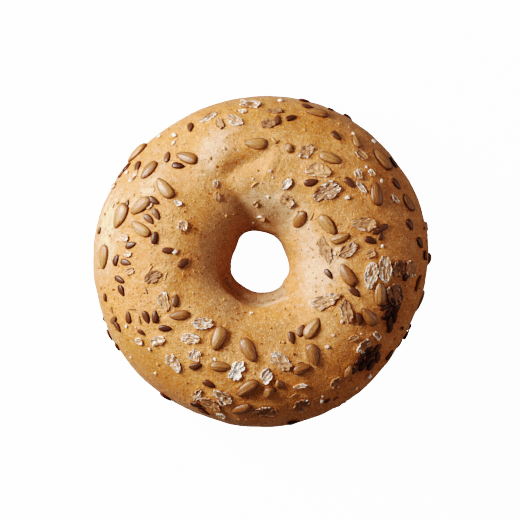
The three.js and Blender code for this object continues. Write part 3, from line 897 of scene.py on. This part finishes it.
def add_seeds(name, kinds, low_kind, material, seed):
    """All seeds of one sort, kind by kind; its first kind is also low on the outside."""
    shape = bmesh.new()
    make_layers(shape, "tone", "rise", "ribs")
    draw = draws_from(seed)
    for kind, listed in kinds:
        for x, y, way, length in listed:
            gather(shape, seed_part(kind, length, seat_over(x, y, way, kind["lift"]), draw))
    for sort, length, seat in FLANK_SEATS:
        if sort == low_kind:
            gather(shape, seed_part(kinds[0][0], length, seat, draw))
    bmesh.ops.recalc_face_normals(shape, faces=shape.faces)
    return add_piece(name, shape, material)


def flake_part(length, width, floury, toast, seat, draw):
    """One flake: a torn, crumpled plate with long folds, white where it is broken."""
    shape = bmesh.new()
    layers = make_layers(shape, "tone", "flour", "along", "aside")
    bmesh.ops.create_grid(shape, x_segments=FLAKE["steps"], y_segments=FLAKE["steps"], size=1)
    spot = Vector((37 * next(draw), 19 * next(draw), 5))
    lit_side = FULL_TURN * next(draw)
    tearing = 0.3 + 0.7 * max(0, floury - 1)
    for vert in shape.verts:
        u, v, _ = vert.co
        x = u * math.sqrt(1 - v * v / 2)
        y = v * math.sqrt(1 - u * u / 2)
        reach = math.hypot(x, y)
        way = Vector((x, y, 0)) / max(reach, 0.001)
        torn = 1 + tearing * noise.noise(spot + way * 1.5) + 0.16 * noise.noise(spot + way * 4)
        place = Vector((x * length / 2, y * width / 2, 0))
        long_fold = noise.noise(spot + Vector((place.x * 0.22, place.y * 1.0, 0)))
        ridge = max(0, 1 - 5 * abs(long_fold))
        crumple = noise.noise(spot + place * 0.8)
        grit = noise.noise(spot + place * 2.2)
        edge = reach ** 5 * (0.6 + 0.6 * math.cos(math.atan2(y, x) - lit_side))
        vert[layers["tone"]] = toast + 0.35 * crumple
        vert[layers["flour"]] = floury * (0.36 + 0.7 * edge + 0.15 * ridge)
        vert[layers["along"]] = spot.x + place.x
        vert[layers["aside"]] = spot.y + place.y
        level = FLAKE["cup"] * (reach * reach - 0.6) + 0.35 * ridge + 0.3 * crumple + 0.1 * grit
        vert.co = place * torn + Vector((0, 0, level * (0.5 + 0.1 * width)))
    bmesh.ops.solidify(shape, geom=shape.faces[:], thickness=FLAKE["thick"])
    bmesh.ops.transform(shape, matrix=seat, verts=shape.verts)
    return shape


def add_flakes(material):
    """The listed flakes, large and small, and those low on the outside."""
    shape = bmesh.new()
    make_layers(shape, "tone", "flour", "along", "aside")
    draw = draws_from(FLAKE["seed"])
    seated = [(*row[3:], seat_over(*row[:3], FLAKE["lift"])) for row in FLAKES + SMALL_FLAKES]
    look = (FLANK_FLAKE["width"], FLANK_FLAKE["floury"], FLANK_FLAKE["toast"])
    seated += [(length, *look, seat) for sort, length, seat in FLANK_SEATS if sort == "flake"]
    for length, width, floury, toast, seat in seated:
        gather(shape, flake_part(length, width, floury, toast, seat, draw))
    bmesh.ops.recalc_face_normals(shape, faces=shape.faces)
    return add_piece("cereal_flakes", shape, material)


def add_crumb(shape, size, seat, tone, layers, spot):
    """One boxy, lumpy crumb; the smallest have fewer faces."""
    made = bmesh.ops.create_icosphere(shape, subdivisions=3 if size > 0.9 else 1, radius=1)
    for vert in made["verts"]:
        boxy = 0.85 * max(abs(vert.co.x), abs(vert.co.y), abs(vert.co.z)) ** -0.8
        lumpy = 1 + 0.5 * noise.noise(spot + vert.co * 1.1) + 0.25 * noise.noise(spot + vert.co * 3)
        vert[layers["tone"]] = tone
        vert.co = Vector((vert.co.x, vert.co.y * 0.75, vert.co.z * 0.6)) * boxy * lumpy * size / 2
    bmesh.ops.transform(shape, matrix=seat, verts=made["verts"])


def add_crumbs(material):
    """The crumbs that show, and finer dust by a seeded rule."""
    shape = bmesh.new()
    layers = make_layers(shape, "tone")
    draw = draws_from(CRUMB_DUST["seed"])
    for x, y, size in CRUMBS:
        seat = seat_over(x, y, 360 * next(draw), CRUMB_LIFT * size)
        add_crumb(shape, size, seat, 0.2 * next(draw), layers, Vector((x, y, 0)))
    for _ in range(CRUMB_DUST["count"]):
        turn = FULL_TURN * next(draw)
        roll = math.radians(CRUMB_DUST["from"] + CRUMB_DUST["over"] * next(draw))
        share = next(draw) ** 2
        size = CRUMB_DUST["smallest"] + (CRUMB_DUST["largest"] - CRUMB_DUST["smallest"]) * share
        way = Vector((next(draw) - 0.5, next(draw) - 0.5, 0.1))
        seat = seat_at(turn, roll, way, 0.0)
        add_crumb(shape, size, seat, 0.3 + 0.7 * next(draw), layers, seat.translation)
    bmesh.ops.recalc_face_normals(shape, faces=shape.faces)
    return add_piece("crumbs", shape, material)


def add_husks(material):
    """Curled slivers of husk lying on the crust."""
    shape = bmesh.new()
    layers = make_layers(shape, "tone")
    draw = draws_from(HUSK["seed"])
    sides = HUSK["sides"]
    for x, y, way, length, tone in HUSKS:
        made = bmesh.ops.create_uvsphere(shape, u_segments=sides, v_segments=sides, radius=1)
        curl = HUSK["curl"] * (next(draw) - 0.5)
        for vert in made["verts"]:
            aside, up, along = vert.co
            vert[layers["tone"]] = tone
            y_bent = aside * HUSK["wide"] + curl * (along * along - 0.4)
            vert.co = Vector((along, y_bent, up * HUSK["thick"])) * length / 2
        bmesh.ops.transform(shape, matrix=seat_over(x, y, way, HUSK["lift"]), verts=made["verts"])
    bmesh.ops.recalc_face_normals(shape, faces=shape.faces)
    return add_piece("husks", shape, material)


def add_light(name, light):
    """A soft square light that stands off in a direction and faces the bagel."""
    data = bpy.data.lights.new(name, "AREA")
    data.shape = "SQUARE"
    data.size = light["size"]
    data.energy = light["power"]
    data.color = light["colour"]
    lamp = bpy.data.objects.new(name, data)
    turn = math.radians(light["turn"])
    tilt = math.radians(light["tilt"])
    towards = Vector((math.cos(tilt) * math.cos(turn), math.cos(tilt) * math.sin(turn), math.sin(tilt)))
    lamp.location = towards * light["distance"]
    lamp.rotation_euler = towards.to_track_quat("Z", "Y").to_euler()
    bpy.context.scene.collection.objects.link(lamp)


def add_floor():
    """A pale floor, near white to the eye but dim in what it throws back."""
    shape = bmesh.new()
    bmesh.ops.create_grid(shape, x_segments=1, y_segments=1, size=FLOOR["size"])
    mesh = bpy.data.meshes.new("floor")
    shape.to_mesh(mesh)
    shape.free()
    material = bpy.data.materials.new("pale_floor")
    material.use_nodes = True
    tree = material.node_tree
    shader = tree.nodes["Principled BSDF"]
    shader.inputs["Roughness"].default_value = 0.9
    seen = add_node(tree, "ShaderNodeLightPath").outputs["Is Camera Ray"]
    link(tree, blend_colours(tree, seen, FLOOR["bounce"], FLOOR["seen"]), shader, "Base Color")
    shader.inputs["Emission Color"].default_value = (1, 1, 1, 1)
    link(tree, calculate(tree, "MULTIPLY", seen, WHITE), shader, "Emission Strength")
    mesh.materials.append(material)
    floor = bpy.data.objects.new("floor", mesh)
    floor.location.z = FLOOR["level"]
    bpy.context.scene.collection.objects.link(floor)


def add_sky():
    """Even soft light from all round, pale behind the floor."""
    world = bpy.data.worlds.new("studio")
    world.use_nodes = True
    tree = world.node_tree
    seen = add_node(tree, "ShaderNodeLightPath").outputs["Is Camera Ray"]
    lit = blend_colours(tree, seen, SKY, (WHITE, WHITE, WHITE, 1))
    tree.links.new(lit, tree.nodes["Background"].inputs["Color"])
    bpy.context.scene.world = world


def add_camera():
    """Straight above the bagel, with the top of the picture along +Y."""
    side = PICTURE_SIDE * MM_PER_PIXEL
    middle_x, middle_y = plan_of(PICTURE_SIDE / 2, PICTURE_SIDE / 2)
    data = bpy.data.cameras.new("camera")
    data.lens = LENS
    data.sensor_width = SENSOR
    data.clip_end = CLIP_END
    camera = bpy.data.objects.new("camera", data)
    camera.location = (middle_x * MM, middle_y * MM, (LENS / SENSOR * side + WIDEST_LEVEL) * MM)
    bpy.context.scene.collection.objects.link(camera)
    bpy.context.scene.camera = camera


def lift_highlights(view):
    """Prints the brightest parts harder, as the photo does: steeper above BRIGHT_FROM."""
    view.use_curve_mapping = True
    tone_curve = view.curve_mapping
    tone_curve.extend = "EXTRAPOLATED"
    tone_curve.clip_max_x = 2
    tone_curve.clip_max_y = 4
    points = tone_curve.curves[3].points
    points[0].location = (0, 0)
    points[1].location = (CURVE_END, BRIGHT_FROM + (CURVE_END - BRIGHT_FROM) * BRIGHT_SLOPE)
    points[0].handle_type = "VECTOR"
    points[1].handle_type = "VECTOR"
    bend = points.new(BRIGHT_FROM, BRIGHT_FROM)
    bend.handle_type = "VECTOR"
    tone_curve.update()


add_camera()
add_crust()
add_seeds("sunflower_kernels", KERNEL_KINDS, "kernel", kernel_material(), KERNEL_SEED)
add_seeds("linseeds", LINSEED_KINDS, "linseed", linseed_material(), LINSEED_SEED)
add_flakes(flake_material())
add_crumbs(crumb_material())
add_husks(husk_material())
add_floor()
add_sky()
add_light("key", KEY)
add_light("edge", EDGE)
view_settings = bpy.context.scene.view_settings
view_settings.view_transform = "Filmic"
view_settings.look = "Very High Contrast"
lift_highlights(view_settings)
